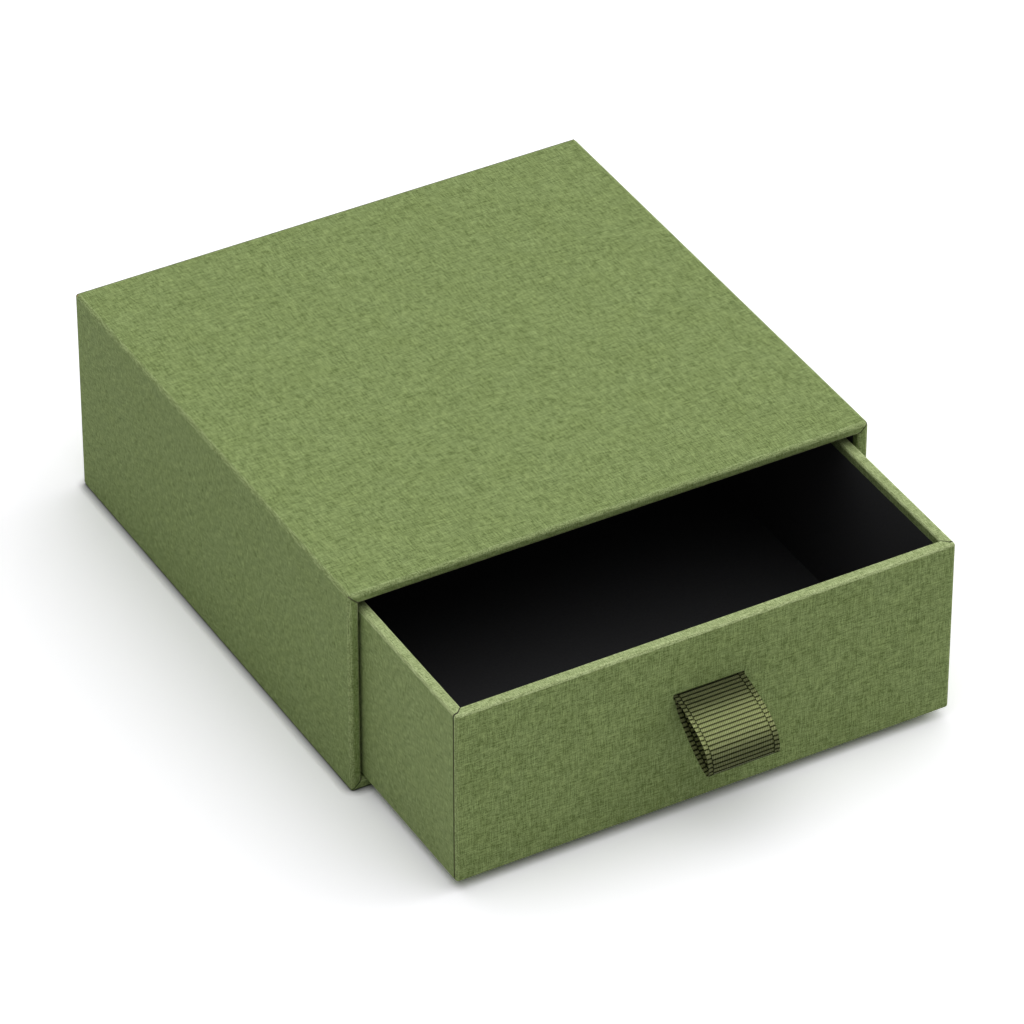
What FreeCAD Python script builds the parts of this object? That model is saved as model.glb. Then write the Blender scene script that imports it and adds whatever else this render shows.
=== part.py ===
"""Sliding drawer gift box: a rigid board sleeve, closed at the back, and a drawer with a ribbon pull.

Both boxes are greyboard panels, glued edge to edge, taped at the corners, covered outside in
green textured paper and lined inside with black paper. The drawer stands part way out.

Frame, in millimetres: the origin is the centre of the sleeve's underside, +X runs to the right
across the mouth, +Y from the mouth to the back, and +Z up. The drawer opens towards -Y.
"""
import FreeCAD, Part
import math
import os
import Sketcher

doc = FreeCAD.newDocument("SlidingDrawerGiftBox")

# ---------------------------------------------------------------- driving dimensions

SIZES = [
    # alias, value in mm, what it is
    ("sleeve_width", 120.0, "outside, across the mouth"),
    ("sleeve_depth", 120.0, "outside, from the mouth to the back"),
    ("sleeve_height", 49.0, "outside"),
    ("sleeve_board", 2.0, "greyboard of the sleeve"),
    ("drawer_board", 2.0, "greyboard of the drawer"),
    ("wrap_paper", 0.25, "green covering paper with its glue"),
    ("lining_paper", 0.25, "black lining paper with its glue"),
    ("edge_radius", 0.7, "rounding of every outside edge"),
    ("lip_radius", 0.5, "rounding of the inside edge of the sleeve's mouth and the drawer's rim"),
    ("front_seam", 0.95, "from the drawer's face back to its front paper's edge on either side"),
    ("sleeve_turn_in", 2.0, "green paper seen inside the mouth before the lining starts"),
    ("drawer_turn_in", 2.0, "green paper seen inside the rim before the liner starts"),
    ("tape_thick", 0.1, "paper stay tape over the corners, under the wrap"),
    ("tape_leg", 9.0, "how far a tape reaches on each side of its corner"),
    ("tape_setback", 3.0, "from an open edge to the end of a tape"),
    ("tape_gap", 1.0, "between neighbouring tapes"),
    ("side_play", 0.5, "gap between drawer and sleeve on each side"),
    ("floor_play", 0.1, "gap under the drawer"),
    ("top_play", 2.4, "gap over the drawer's rim"),
    ("back_play", 0.5, "gap behind the closed drawer, its front flush with the mouth"),
    ("drawer_out", 38.0, "how far the drawer stands open at rest"),
    ("ribbon_width", 16.0, "grosgrain ribbon"),
    ("ribbon_thick", 0.5, "one layer of ribbon"),
    ("slot_drop", 14.0, "from the drawer's rim to the middle of the ribbon slot"),
    ("slot_end_play", 0.5, "slot beyond the ribbon at each end"),
    ("slot_play", 0.1, "slot beyond the doubled ribbon, above and below"),
    ("tail_up", 9.0, "ribbon tail glued upwards behind the front board"),
    ("tail_down", 18.0, "ribbon tail glued downwards"),
    ("tail_bed_play", 0.25, "bed pressed into the board beyond the tails, all round"),
    ("patch_thick", 0.1, "gummed paper patch over the tails"),
    ("loop_standoff", 0.8, "from the drawer's face to the line where the loop bends"),
    ("loop_reach", 14.2, "from the drawer's face to the middle of the loop's outer layer"),
    ("loop_drop", 10.6, "from the slot down to the middle of the fold's lowest point"),
    ("crown_radius", 8.2, "bend over the top of the loop"),
    ("crown_depth", 9.6, "from the slot down to the middle of that bend"),
    ("fold_radius", 0.6, "tight fold at the loop's lower end"),
    ("back_radius", 17.0, "bow of the loop's inner layer"),
]

sheet = doc.addObject("Spreadsheet::Sheet", "Sizes")
for row, (alias, value, meaning) in enumerate(SIZES, start=1):
    sheet.set(f"A{row}", alias)
    sheet.set(f"B{row}", str(value))
    sheet.set(f"C{row}", meaning)
    sheet.setAlias(f"B{row}", alias)
doc.recompute()

# ---------------------------------------------------------------- boxes as expressions
# A box is a dictionary of its six sides, each an expression on the sheet, so a piece that
# takes a side from another box moves with it.

AXES = (("left", "right"), ("front", "back"), ("bottom", "top"))
LOW_SIDES = ("left", "front", "bottom")
OPPOSITE = {}
for low_side, high_side in AXES:
    OPPOSITE[low_side] = high_side
    OPPOSITE[high_side] = low_side


def moved_in(box, side, by):
    """The expression of a side moved towards the inside of its box."""
    sign = "+" if side in LOW_SIDES else "-"
    return f"{box[side]} {sign} {by}"


def moved_out(box, side, by):
    """The expression of a side moved away from the inside of its box."""
    sign = "-" if side in LOW_SIDES else "+"
    return f"{box[side]} {sign} {by}"


def inset(box, by):
    """A box smaller by the same amount on every side."""
    return {side: moved_in(box, side, by) for side in box}


def outset(box, by):
    """A box larger by the same amount on every side."""
    return {side: moved_out(box, side, by) for side in box}


def near(box, side, depth):
    """The slice of a box that lies within a depth of one side."""
    return {**box, OPPOSITE[side]: moved_in(box, side, depth)}


# ---------------------------------------------------------------- document helpers

nodes = []


def node(item):
    """Mark an object as one physical piece of the product."""
    nodes.append(item)
    return item


def place(item, box):
    """Put an object's own origin on the low corner of a box."""
    for axis, (low, _) in zip("xyz", AXES):
        item.setExpression(f"Placement.Base.{axis}", box[low])


def block(name, box):
    """A plain block that fills a box."""
    item = doc.addObject("Part::Box", name)
    for size, (low, high) in zip(("Length", "Width", "Height"), AXES):
        item.setExpression(size, f"({box[high]}) - ({box[low]})")
    place(item, box)
    return item


def boolean(kind, name, base, tool):
    """A Part::Cut or Part::Common of two objects."""
    item = doc.addObject(f"Part::{kind}", name)
    item.Base = base
    item.Tool = tool
    return item


def joined(name, items):
    """One object from several that touch."""
    item = doc.addObject("Part::MultiFuse", name)
    item.Shapes = items
    item.Refine = True
    return item


def sketch_on(body, role, name):
    """A sketch on one of a body's own origin planes."""
    sketch = body.newObject("Sketcher::SketchObject", name)
    planes = [plane for plane in body.Origin.OriginFeatures if plane.Role == role]
    sketch.AttachmentSupport = [(planes[0], "")]
    sketch.MapMode = "FlatFace"
    return sketch


def name_size(sketch, constraint, name, expression):
    """Add a dimension to a sketch, name it and bind it to the sheet."""
    index = sketch.addConstraint(constraint)
    sketch.renameConstraint(index, name)
    sketch.setExpression(f"Constraints.{name}", expression)


def rectangle(sketch, width, height):
    """A rectangle with one corner on the sketch's origin."""
    first = 10.0
    corners = [(0, 0), (first, 0), (first, first), (0, first)]
    for start, end in zip(corners, corners[1:] + corners[:1]):
        sketch.addGeometry(Part.LineSegment(FreeCAD.Vector(*start, 0), FreeCAD.Vector(*end, 0)))
    for line in range(4):
        sketch.addConstraint(Sketcher.Constraint("Coincident", line, 2, (line + 1) % 4, 1))
    for line, direction in enumerate(("Horizontal", "Vertical", "Horizontal", "Vertical")):
        sketch.addConstraint(Sketcher.Constraint(direction, line))
    sketch.addConstraint(Sketcher.Constraint("Coincident", 0, 1, -1, 1))
    name_size(sketch, Sketcher.Constraint("DistanceX", 0, 1, 0, 2, first), "width", width)
    name_size(sketch, Sketcher.Constraint("DistanceY", 1, 1, 1, 2, first), "height", height)


def round_edges(body, name, feature, edges, radius):
    """Round some edges of a body's latest feature."""
    rounding = body.newObject("PartDesign::Fillet", name)
    rounding.Base = (feature, edges)
    rounding.setExpression("Radius", radius)
    return rounding


def rounded_block(name, box, radius):
    """A block whose twelve edges are all rounded."""
    body = doc.addObject("PartDesign::Body", name)
    outline = sketch_on(body, "XY_Plane", f"{name}_outline")
    lengths = [f"({box[high]}) - ({box[low]})" for low, high in AXES]
    rectangle(outline, lengths[0], lengths[1])
    pad = body.newObject("PartDesign::Pad", f"{name}_pad")
    pad.Profile = outline
    pad.setExpression("Length", lengths[2])
    doc.recompute()
    every_edge = [f"Edge{number + 1}" for number in range(len(pad.Shape.Edges))]
    round_edges(body, f"{name}_rounding", pad, every_edge, radius)
    place(body, box)
    return body


def open_block(name, outside, room, open_side, radius, lip):
    """A rounded block with a room cut in from one side, and a softer lip round the opening."""
    body = rounded_block(name, outside, radius)
    cavity = body.newObject("PartDesign::SubtractiveBox", f"{name}_room")
    for size, axis, (low, high) in zip(("Length", "Width", "Height"), "xyz", AXES):
        cavity.setExpression(size, f"({room[high]}) - ({room[low]})")
        cavity.setExpression(f"Placement.Base.{axis}", f"({room[low]}) - ({outside[low]})")
    doc.recompute()

    # The lip is the room's four edges that lie in the open face.
    axis = [open_side in pair for pair in AXES].index(True)
    bounds = cavity.Shape.BoundBox
    low_corner = (bounds.XMin, bounds.YMin, bounds.ZMin)
    high_corner = (bounds.XMax, bounds.YMax, bounds.ZMax)
    level = low_corner[axis] if open_side in LOW_SIDES else high_corner[axis]
    loops = [wire for face in cavity.Shape.Faces for wire in face.Wires
             if all(abs(vertex.Point[axis] - level) < 1e-6 for vertex in wire.Vertexes)]
    inner_loop = min(loops, key=lambda wire: wire.Length)
    lip_edges = [f"Edge{number + 1}" for number, edge in enumerate(cavity.Shape.Edges)
                 if any(edge.isSame(other) for other in inner_loop.Edges)]
    round_edges(body, f"{name}_lip", cavity, lip_edges, lip)
    return body


# ---------------------------------------------------------------- pieces of a covered box

WRAP = "Sizes.wrap_paper"
LINING = "Sizes.lining_paper"


def cores(name, outside, room, open_side):
    """The rounded solids that a covered box is cut from: outside, tape layer and board core."""
    core = inset(outside, WRAP)
    tape = outset(core, "Sizes.tape_thick")
    radii = ("Sizes.edge_radius", "Sizes.lip_radius")
    skin_solid = open_block(f"{name}_skin_form", outside, room, open_side, *radii)
    core_radius = f"Sizes.edge_radius - {WRAP}"
    tape_solid = rounded_block(f"{name}_tape_form", tape, f"{core_radius} + Sizes.tape_thick")
    core_solid = rounded_block(f"{name}_core_form", core, core_radius)
    return skin_solid, tape_solid, core_solid


def board(name, box, core_solid):
    """A greyboard panel with its outside edges eased."""
    return boolean("Common", name, block(f"{name}_blank", box), core_solid)


def stay_tape(name, box, tape_solid, core_solid):
    """Paper tape folded over a corner of the boards."""
    strip = boolean("Common", f"{name}_strip", tape_solid, block(f"{name}_reach", box))
    return node(boolean("Cut", name, strip, core_solid))


def lining_strip(name, outer, inner, open_side):
    """Lining paper round four walls: the outer box less an inner one that runs out past both ends."""
    past_ends = 1.0
    through = {**inner}
    for side in (open_side, OPPOSITE[open_side]):
        through[side] = moved_out(outer, side, past_ends)
    return node(boolean("Cut", name, block(f"{name}_outer", outer), block(f"{name}_inner", through)))


# ---------------------------------------------------------------- sleeve

sleeve_outside = {
    "left": "-Sizes.sleeve_width / 2",
    "right": "Sizes.sleeve_width / 2",
    "front": "-Sizes.sleeve_depth / 2",
    "back": "Sizes.sleeve_depth / 2",
    "bottom": "0",
    "top": "Sizes.sleeve_height",
}
sleeve_core = inset(sleeve_outside, WRAP)
sleeve_hollow = {**inset(sleeve_core, "Sizes.sleeve_board"), "front": sleeve_core["front"]}
sleeve_room = {**inset(sleeve_hollow, LINING), "front": sleeve_outside["front"]}


def make_sleeve_boards(core_solid):
    """Top and bottom run the full width, the sides stand between them, the back closes all four."""
    thick = "Sizes.sleeve_board"
    tube = {**sleeve_core, "back": sleeve_hollow["back"]}
    side_wall = {**tube, "bottom": sleeve_hollow["bottom"], "top": sleeve_hollow["top"]}
    boxes = {
        "sleeve_top_board": near(tube, "top", thick),
        "sleeve_bottom_board": near(tube, "bottom", thick),
        "sleeve_left_board": near(side_wall, "left", thick),
        "sleeve_right_board": near(side_wall, "right", thick),
        "sleeve_back_board": near(sleeve_core, "back", thick),
    }
    return [node(board(name, box, core_solid)) for name, box in boxes.items()]


def make_sleeve_tapes(tape_solid, core_solid):
    """One tape along each long corner, and one over each edge of the back between them."""
    leg = "Sizes.tape_leg"
    layer = outset(sleeve_core, "Sizes.tape_thick")
    tapes = []
    front = moved_in(sleeve_core, "front", "Sizes.tape_setback")
    long_run = {**layer, "front": front, "back": sleeve_core["back"]}
    for level in ("top", "bottom"):
        for side in ("left", "right"):
            reach = near(near(long_run, level, leg), side, leg)
            tapes.append(stay_tape(f"sleeve_corner_tape_{level}_{side}", reach, tape_solid, core_solid))
    back_run = near(layer, "back", leg)
    for edge, ends in (("top", AXES[0]), ("bottom", AXES[0]), ("left", AXES[2]), ("right", AXES[2])):
        reach = near(back_run, edge, leg)
        for end in ends:
            reach[end] = moved_in(layer, end, f"({leg} + Sizes.tape_gap)")
        tapes.append(stay_tape(f"sleeve_back_tape_{edge}", reach, tape_solid, core_solid))
    return tapes


def make_sleeve():
    """Boards, tapes, linings, and the three covering papers cut from one skin."""
    skin_solid, tape_solid, core_solid = cores("sleeve", sleeve_outside, sleeve_room, "front")
    boards = make_sleeve_boards(core_solid)
    tapes = make_sleeve_tapes(tape_solid, core_solid)

    lining_outer = {**sleeve_hollow, "front": moved_in(sleeve_outside, "front", "Sizes.sleeve_turn_in")}
    wall_lining = lining_strip("sleeve_wall_lining", lining_outer, sleeve_room, "front")
    to_back_board = {**sleeve_room, "back": sleeve_hollow["back"]}
    back_lining = node(block("sleeve_back_lining", near(to_back_board, "back", LINING)))

    inside = joined("sleeve_inside", boards + tapes + [wall_lining, back_lining])
    skin = boolean("Cut", "sleeve_skin", skin_solid, inside)
    base_layer = block("sleeve_base_layer", near(sleeve_outside, "bottom", WRAP))
    above_base = {**sleeve_outside, "bottom": sleeve_core["bottom"]}
    back_layer = block("sleeve_back_layer", near(above_base, "back", WRAP))
    node(boolean("Common", "sleeve_base_paper", skin, base_layer))
    node(boolean("Common", "sleeve_back_paper", skin, back_layer))
    node(boolean("Cut", "sleeve_wrap", skin, joined("sleeve_other_papers", [base_layer, back_layer])))


# ---------------------------------------------------------------- drawer

closed_back = moved_in(sleeve_room, "back", "Sizes.back_play")
drawer_outside = {
    "left": moved_in(sleeve_room, "left", "Sizes.side_play"),
    "right": moved_in(sleeve_room, "right", "Sizes.side_play"),
    "front": f"{sleeve_outside['front']} - Sizes.drawer_out",
    "back": f"{closed_back} - Sizes.drawer_out",
    "bottom": moved_in(sleeve_room, "bottom", "Sizes.floor_play"),
    "top": moved_in(sleeve_room, "top", "Sizes.top_play"),
}
drawer_core = inset(drawer_outside, WRAP)
drawer_hollow = {**inset(drawer_core, "Sizes.drawer_board"), "top": drawer_core["top"]}
drawer_room = {**inset(drawer_hollow, LINING), "top": drawer_outside["top"]}
slot_height = f"{drawer_outside['top']} - Sizes.slot_drop"


def across_ribbon(bottom, top, front, back, side_play):
    """A box centred on the ribbon, wider than it by a play on each side."""
    half = f"Sizes.ribbon_width / 2 + {side_play}"
    return {"left": f"-({half})", "right": half, "front": front, "back": back, "bottom": bottom, "top": top}


tail_bed_floor = f"{drawer_hollow['front']} - Sizes.ribbon_thick - Sizes.patch_thick"
slot = across_ribbon(
    f"{slot_height} - Sizes.ribbon_thick - Sizes.slot_play",
    f"{slot_height} + Sizes.ribbon_thick + Sizes.slot_play",
    drawer_outside["front"],
    drawer_hollow["front"],
    "Sizes.slot_end_play",
)
tail_bed = across_ribbon(
    f"{slot_height} - Sizes.tail_down - Sizes.tail_bed_play",
    f"{slot_height} + Sizes.tail_up + Sizes.tail_bed_play",
    tail_bed_floor,
    drawer_hollow["front"],
    "Sizes.tail_bed_play",
)


def make_drawer_boards(core_solid):
    """The walls stand on the base; front and back run the full width, the sides between them."""
    thick = "Sizes.drawer_board"
    walls = {**drawer_core, "bottom": drawer_hollow["bottom"]}
    side_wall = {**walls, "front": drawer_hollow["front"], "back": drawer_hollow["back"]}
    boards = {
        "drawer_base_board": near(drawer_core, "bottom", thick),
        "drawer_back_board": near(walls, "back", thick),
        "drawer_left_board": near(side_wall, "left", thick),
        "drawer_right_board": near(side_wall, "right", thick),
    }
    made = [node(board(name, box, core_solid)) for name, box in boards.items()]
    front_panel = board("drawer_front_panel", near(walls, "front", thick), core_solid)
    return made, front_panel


def make_drawer_tapes(tape_solid, core_solid):
    """One tape up each vertical corner."""
    leg = "Sizes.tape_leg"
    layer = outset(drawer_core, "Sizes.tape_thick")
    top = moved_in(drawer_core, "top", "Sizes.tape_setback")
    run = {**layer, "bottom": drawer_core["bottom"], "top": top}
    tapes = []
    for end in ("front", "back"):
        for side in ("left", "right"):
            reach = near(near(run, end, leg), side, leg)
            tapes.append(stay_tape(f"drawer_corner_tape_{end}_{side}", reach, tape_solid, core_solid))
    return tapes


def front_cover():
    """What the front paper covers: the front, round both corners to the sides, and its mitred rim."""
    wall = f"({drawer_room['front']}) - ({drawer_outside['front']})"
    width = f"({drawer_outside['right']}) - ({drawer_outside['left']})"
    height = f"({drawer_outside['top']}) - ({drawer_core['bottom']})"
    above_base = {**drawer_outside, "bottom": drawer_core["bottom"]}
    corners = block("drawer_front_corners", near(above_base, "front", "Sizes.front_seam"))
    mitres = doc.addObject("Part::Wedge", "drawer_front_mitres")
    spans = {
        "Xmin": "0",
        "Xmax": width,
        "Ymin": "0",
        "Ymax": wall,
        "Zmin": "0",
        "Zmax": height,
        "X2min": wall,
        "X2max": f"{width} - ({wall})",
        "Z2min": "0",
        "Z2max": height,
    }
    for side, expression in spans.items():
        mitres.setExpression(side, expression)
    place(mitres, above_base)
    return joined("drawer_front_cover", [corners, mitres])


def make_drawer():
    """Boards, tapes, liners, the slotted front board, and the covering papers."""
    skin_solid, tape_solid, core_solid = cores("drawer", drawer_outside, drawer_room, "top")
    boards, front_panel = make_drawer_boards(core_solid)
    slot_block = block("ribbon_slot", slot)
    front_cuts = joined("drawer_front_cuts", [slot_block, block("ribbon_tail_bed", tail_bed)])
    node(boolean("Cut", "drawer_front_board", front_panel, front_cuts))
    tapes = make_drawer_tapes(tape_solid, core_solid)

    liner_outer = {**drawer_hollow, "top": moved_in(drawer_outside, "top", "Sizes.drawer_turn_in")}
    wall_liner = lining_strip("drawer_wall_liner", liner_outer, drawer_room, "top")
    floor_box = near({**drawer_room, "bottom": drawer_hollow["bottom"]}, "bottom", LINING)
    floor_liner = node(block("drawer_floor_liner", floor_box))

    inside = joined("drawer_inside", boards + tapes + [front_panel, wall_liner, floor_liner, slot_block])
    skin = boolean("Cut", "drawer_skin", skin_solid, inside)
    base_layer = block("drawer_base_layer", near(drawer_outside, "bottom", WRAP))
    cover = front_cover()
    node(boolean("Common", "drawer_base_paper", skin, base_layer))
    node(boolean("Common", "drawer_front_paper", skin, cover))
    node(boolean("Cut", "drawer_wrap", skin, joined("drawer_other_papers", [base_layer, cover])))


# ---------------------------------------------------------------- ribbon pull

def make_ribbon_tails():
    """The ribbon's two ends: doubled through the slot, then glued up and down behind the board."""
    stem = across_ribbon(
        f"{slot_height} - Sizes.ribbon_thick",
        f"{slot_height} + Sizes.ribbon_thick",
        drawer_outside["front"],
        tail_bed_floor,
        "0",
    )
    spread = across_ribbon(
        f"{slot_height} - Sizes.tail_down",
        f"{slot_height} + Sizes.tail_up",
        tail_bed_floor,
        f"{tail_bed_floor} + Sizes.ribbon_thick",
        "0",
    )
    node(joined("ribbon_tails", [block("ribbon_stem", stem), block("ribbon_spread", spread)]))
    patch = {**tail_bed, "front": f"{tail_bed_floor} + Sizes.ribbon_thick"}
    node(block("ribbon_patch", patch))


def loop_path(sketch):
    """The loop's centre line from the slot and back, outwards being the sketch's -X.

    Line out and a little down, crown bend, line down, tight fold, and the bowed inner layer,
    tangent all the way.
    """
    half_thick = sheet.ribbon_thick / 2
    reach = sheet.loop_reach - sheet.loop_standoff
    crown = sheet.crown_radius
    fold = sheet.fold_radius
    depth = sheet.crown_depth
    bow = sheet.back_radius

    start = FreeCAD.Vector(0, half_thick, 0)
    crown_centre = FreeCAD.Vector(crown - reach, -depth, 0)
    fold_centre = FreeCAD.Vector(fold - reach, fold - sheet.loop_drop, 0)
    end = FreeCAD.Vector(0, -half_thick, 0)
    # The line out touches the crown: its slope and where it ends follow.
    to_crown = start - crown_centre
    crown_start = math.atan2(to_crown.y, to_crown.x) + math.acos(crown / to_crown.Length)
    line_end = crown_centre + FreeCAD.Vector(math.cos(crown_start), math.sin(crown_start), 0) * crown
    # The bow passes through the end and touches the fold: the angle where they meet follows.
    span = end - fold_centre
    offset = (bow ** 2 - (bow - fold) ** 2 - span.Length ** 2) / (2 * (bow - fold))
    meeting = math.atan2(span.y, span.x) + math.asin(offset / span.Length)
    along = FreeCAD.Vector(math.sin(meeting), -math.cos(meeting), 0)
    bow_centre = fold_centre - along * (bow - fold)
    bow_end = math.atan2(end.y - bow_centre.y, end.x - bow_centre.x)

    def arc(centre, radius, first, last):
        return Part.ArcOfCircle(Part.Circle(centre, FreeCAD.Vector(0, 0, 1), radius), first, last)

    top_line = Part.LineSegment(start, line_end)
    crown_arc = arc(crown_centre, crown, crown_start, math.pi)
    drop_top = FreeCAD.Vector(-reach, crown_centre.y, 0)
    drop_line = Part.LineSegment(drop_top, FreeCAD.Vector(-reach, fold_centre.y, 0))
    fold_arc = arc(fold_centre, fold, -math.pi, meeting - math.pi / 2)
    bow_arc = arc(bow_centre, bow, meeting - math.pi / 2, bow_end)
    top, turn, drop, tuck, bowed = (
        sketch.addGeometry(edge) for edge in (top_line, crown_arc, drop_line, fold_arc, bow_arc)
    )

    for first, first_end, second, second_end in (
        (top, 2, turn, 1),
        (turn, 2, drop, 1),
        (drop, 2, tuck, 1),
        (tuck, 2, bowed, 1),
    ):
        sketch.addConstraint(Sketcher.Constraint("Tangent", first, first_end, second, second_end))
    sketch.addConstraint(Sketcher.Constraint("Vertical", drop))
    sketch.addConstraint(Sketcher.Constraint("PointOnObject", top, 1, -2))
    sketch.addConstraint(Sketcher.Constraint("Symmetric", top, 1, bowed, 2, -1, 1))
    sizes = (
        ("layers", Sketcher.Constraint("DistanceY", bowed, 2, top, 1, 2 * half_thick),
         "Sizes.ribbon_thick"),
        ("reach", Sketcher.Constraint("DistanceX", turn, 2, -1, 1, reach),
         "Sizes.loop_reach - Sizes.loop_standoff"),
        ("crown", Sketcher.Constraint("Radius", turn, crown), "Sizes.crown_radius"),
        ("depth", Sketcher.Constraint("DistanceY", turn, 3, -1, 1, depth), "Sizes.crown_depth"),
        ("fold", Sketcher.Constraint("Radius", tuck, fold), "Sizes.fold_radius"),
        ("drop", Sketcher.Constraint("DistanceY", tuck, 3, -1, 1, sheet.loop_drop - fold),
         "Sizes.loop_drop - Sizes.fold_radius"),
        ("bow", Sketcher.Constraint("Radius", bowed, bow), "Sizes.back_radius"),
    )
    for name, constraint, expression in sizes:
        name_size(sketch, constraint, name, expression)


def make_ribbon_loop():
    """The loop outside the slot: a strip swept along its path, with a round root that it bends on."""
    body = doc.addObject("PartDesign::Body", "ribbon_loop")
    path = sketch_on(body, "YZ_Plane", "ribbon_path")
    loop_path(path)
    section = sketch_on(body, "XZ_Plane", "ribbon_section")
    rectangle(section, "Sizes.ribbon_width", "Sizes.ribbon_thick")
    section.setExpression("AttachmentOffset.Base.x", "-Sizes.ribbon_width / 2")
    doc.recompute()
    strip = body.newObject("PartDesign::AdditivePipe", "ribbon_strip")
    strip.Profile = section
    strip.Spine = path
    doc.recompute()
    root_outline = sketch_on(body, "YZ_Plane", "ribbon_root_outline")
    root_outline.addGeometry(Part.Circle(FreeCAD.Vector(0, 0, 0), FreeCAD.Vector(0, 0, 1), 0.5))
    root_outline.addConstraint(Sketcher.Constraint("Coincident", 0, 3, -1, 1))
    name_size(root_outline, Sketcher.Constraint("Radius", 0, 0.5), "root", "Sizes.ribbon_thick")
    root = body.newObject("PartDesign::Pad", "ribbon_root")
    root.Profile = root_outline
    root.Midplane = True
    root.setExpression("Length", "Sizes.ribbon_width")
    body.Tip = root
    body.setExpression("Placement.Base.y", f"{drawer_outside['front']} - Sizes.loop_standoff")
    body.setExpression("Placement.Base.z", slot_height)
    return node(body)


# ---------------------------------------------------------------- build, check and write

make_sleeve()
make_drawer()
make_ribbon_tails()
make_ribbon_loop()
doc.recompute()

for item in doc.Objects:
    faults = {"Invalid", "Error"} & set(item.State)
    if faults:
        raise RuntimeError(f"{item.Name} is {', '.join(faults)}")

os.makedirs("parts", exist_ok=True)
for piece in nodes:
    shape = piece.Shape
    if shape.isNull() or not shape.isValid() or shape.Volume <= 0:
        raise RuntimeError(f"{piece.Label} has no valid shape")
    print(f"{piece.Label:36s} solids {len(shape.Solids)}  volume {shape.Volume:10.2f} mm3")
for piece in nodes:
    piece.Shape.exportStep(f"parts/{piece.Label}.step")
print(len(nodes), "pieces written")
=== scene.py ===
# %% [markdown]
# # A sliding drawer gift box
# The product is two rigid boxes. Each is made of greyboard panels, covered outside in a green
# paper that is embossed like linen, and lined inside with matt black paper. A loop of ribbon
# through a slot in the front pulls the drawer.
# The solid parts come packed from the construction model, and nothing here moves them. This
# lesson gives them their finishes, and models again the pieces whose looks need more detail:
# the covering papers with their mitred corners, and the woven ribbon.

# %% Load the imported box
import math

import bmesh
import bpy
from mathutils import Matrix, Vector, noise
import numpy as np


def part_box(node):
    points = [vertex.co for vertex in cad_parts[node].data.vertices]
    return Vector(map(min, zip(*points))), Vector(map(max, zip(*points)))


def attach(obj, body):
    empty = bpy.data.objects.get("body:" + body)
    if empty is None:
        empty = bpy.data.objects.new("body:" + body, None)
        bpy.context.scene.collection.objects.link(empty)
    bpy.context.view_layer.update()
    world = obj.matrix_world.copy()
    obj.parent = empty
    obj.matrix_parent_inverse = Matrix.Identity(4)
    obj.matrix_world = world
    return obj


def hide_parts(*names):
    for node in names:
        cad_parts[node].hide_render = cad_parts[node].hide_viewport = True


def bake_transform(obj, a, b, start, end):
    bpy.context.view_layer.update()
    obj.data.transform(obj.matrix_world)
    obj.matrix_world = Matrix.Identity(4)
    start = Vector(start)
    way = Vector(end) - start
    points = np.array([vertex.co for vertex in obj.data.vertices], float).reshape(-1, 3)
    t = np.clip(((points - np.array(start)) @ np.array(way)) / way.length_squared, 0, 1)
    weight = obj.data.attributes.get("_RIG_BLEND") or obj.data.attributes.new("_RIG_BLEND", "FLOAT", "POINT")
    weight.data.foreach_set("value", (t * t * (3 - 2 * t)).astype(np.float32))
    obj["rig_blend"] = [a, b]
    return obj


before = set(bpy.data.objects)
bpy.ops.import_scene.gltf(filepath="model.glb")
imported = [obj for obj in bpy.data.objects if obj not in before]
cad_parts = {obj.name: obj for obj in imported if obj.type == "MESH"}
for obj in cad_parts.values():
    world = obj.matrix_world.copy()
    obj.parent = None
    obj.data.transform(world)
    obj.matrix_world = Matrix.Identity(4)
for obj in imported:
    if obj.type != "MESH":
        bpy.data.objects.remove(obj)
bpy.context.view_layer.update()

MM = 0.001

# %% [markdown]
# ## Colours and nodes
# A maker picks colours on a screen, so every colour in this lesson is an sRGB hex value.
# Blender works with linear light, and one function turns one into the other.
# A material is a graph of nodes. One small helper adds a node: settings of the node are named
# arguments, and `inputs` gives each socket a value or the socket of another node.


# %% Colour and node helpers
def linear(hex_colour):
    """An sRGB hex colour as linear RGBA."""
    channels = [int(hex_colour[start:start + 2], 16) / 255 for start in (1, 3, 5)]
    straight = [c / 12.92 if c <= 0.04045 else ((c + 0.055) / 1.055) ** 2.4 for c in channels]
    return (*straight, 1.0)


def add(tree, kind, inputs=None, **settings):
    """Add a node of a kind, with its settings, socket values and links."""
    made = tree.nodes.new(f"ShaderNode{kind}")
    for name, value in settings.items():
        setattr(made, name, value)
    for socket, value in (inputs or {}).items():
        if isinstance(value, bpy.types.NodeSocket):
            tree.links.new(value, made.inputs[socket])
        else:
            made.inputs[socket].default_value = value
    return made


# Sockets of the Mix node, when it mixes colours.
MIX_A, MIX_B, MIXED = 6, 7, 2


def new_material(name):
    """An empty material with its output: returns the material, its tree and the surface socket."""
    material = bpy.data.materials.new(name)
    material.use_nodes = True
    tree = material.node_tree
    tree.nodes.clear()
    output = add(tree, "OutputMaterial")
    return material, tree, output.inputs["Surface"]


print("moss green is", [round(c, 3) for c in linear("#83945e")])
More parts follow.
